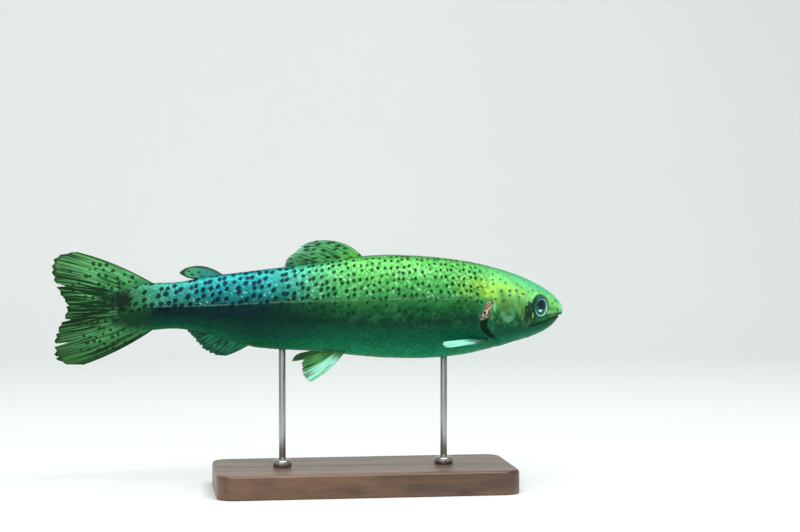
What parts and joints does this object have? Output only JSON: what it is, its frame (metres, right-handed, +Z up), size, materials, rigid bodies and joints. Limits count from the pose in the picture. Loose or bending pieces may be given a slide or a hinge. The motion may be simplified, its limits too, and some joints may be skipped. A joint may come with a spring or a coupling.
{
  "type": "rainbow trout display model",
  "caption": "Life-size rainbow trout with a spotted green back, folded fins and a gently bent tail, held level on two rods over a flat wooden base.",
  "frame": {"origin": "centre of the underside of the stand's base, on the floor", "axes": "+X along the fish towards its snout, +Z up, -Y out of the fish's right flank"},
  "size_m": [0.3006, 0.076, 0.1465],
  "materials": {
    "body_skin": "wet scaled skin",
    "head_skin": "wet bare skin",
    "jaw_skin": "wet bare skin",
    "gill_tissue": "wet gill tissue",
    "eyeball": "glossy eye",
    "fin_web": "ribbed fin web",
    "stand_wood": "satin dark wood",
    "stand_metal": "brushed"
  },
  "bodies": {
    "root": {"head": "head_skin", "lower_jaw": "jaw_skin", "upper_jaw_right": "jaw_skin", "upper_jaw_left": "jaw_skin", "gill_cover_right": "head_skin", "gill_cover_left": "head_skin", "gill_right": "gill_tissue", "gill_left": "gill_tissue", "eye_right": "eyeball", "eye_left": "eyeball", "trunk_front": "body_skin", "trunk_rear": "body_skin", "tail_stalk": "body_skin", "caudal_fin": "fin_web", "dorsal_fin": "fin_web", "adipose_fin": "fin_web", "anal_fin": "fin_web", "pelvic_fin_right": "fin_web", "pelvic_fin_left": "fin_web", "pectoral_fin_right": "fin_web", "pectoral_fin_left": "fin_web", "stand_base": "stand_wood", "stand_rod_front": "stand_metal", "stand_rod_rear": "stand_metal", "stand_collar_front": "stand_metal", "stand_collar_rear": "stand_metal"}
  },
  "joints": []
}
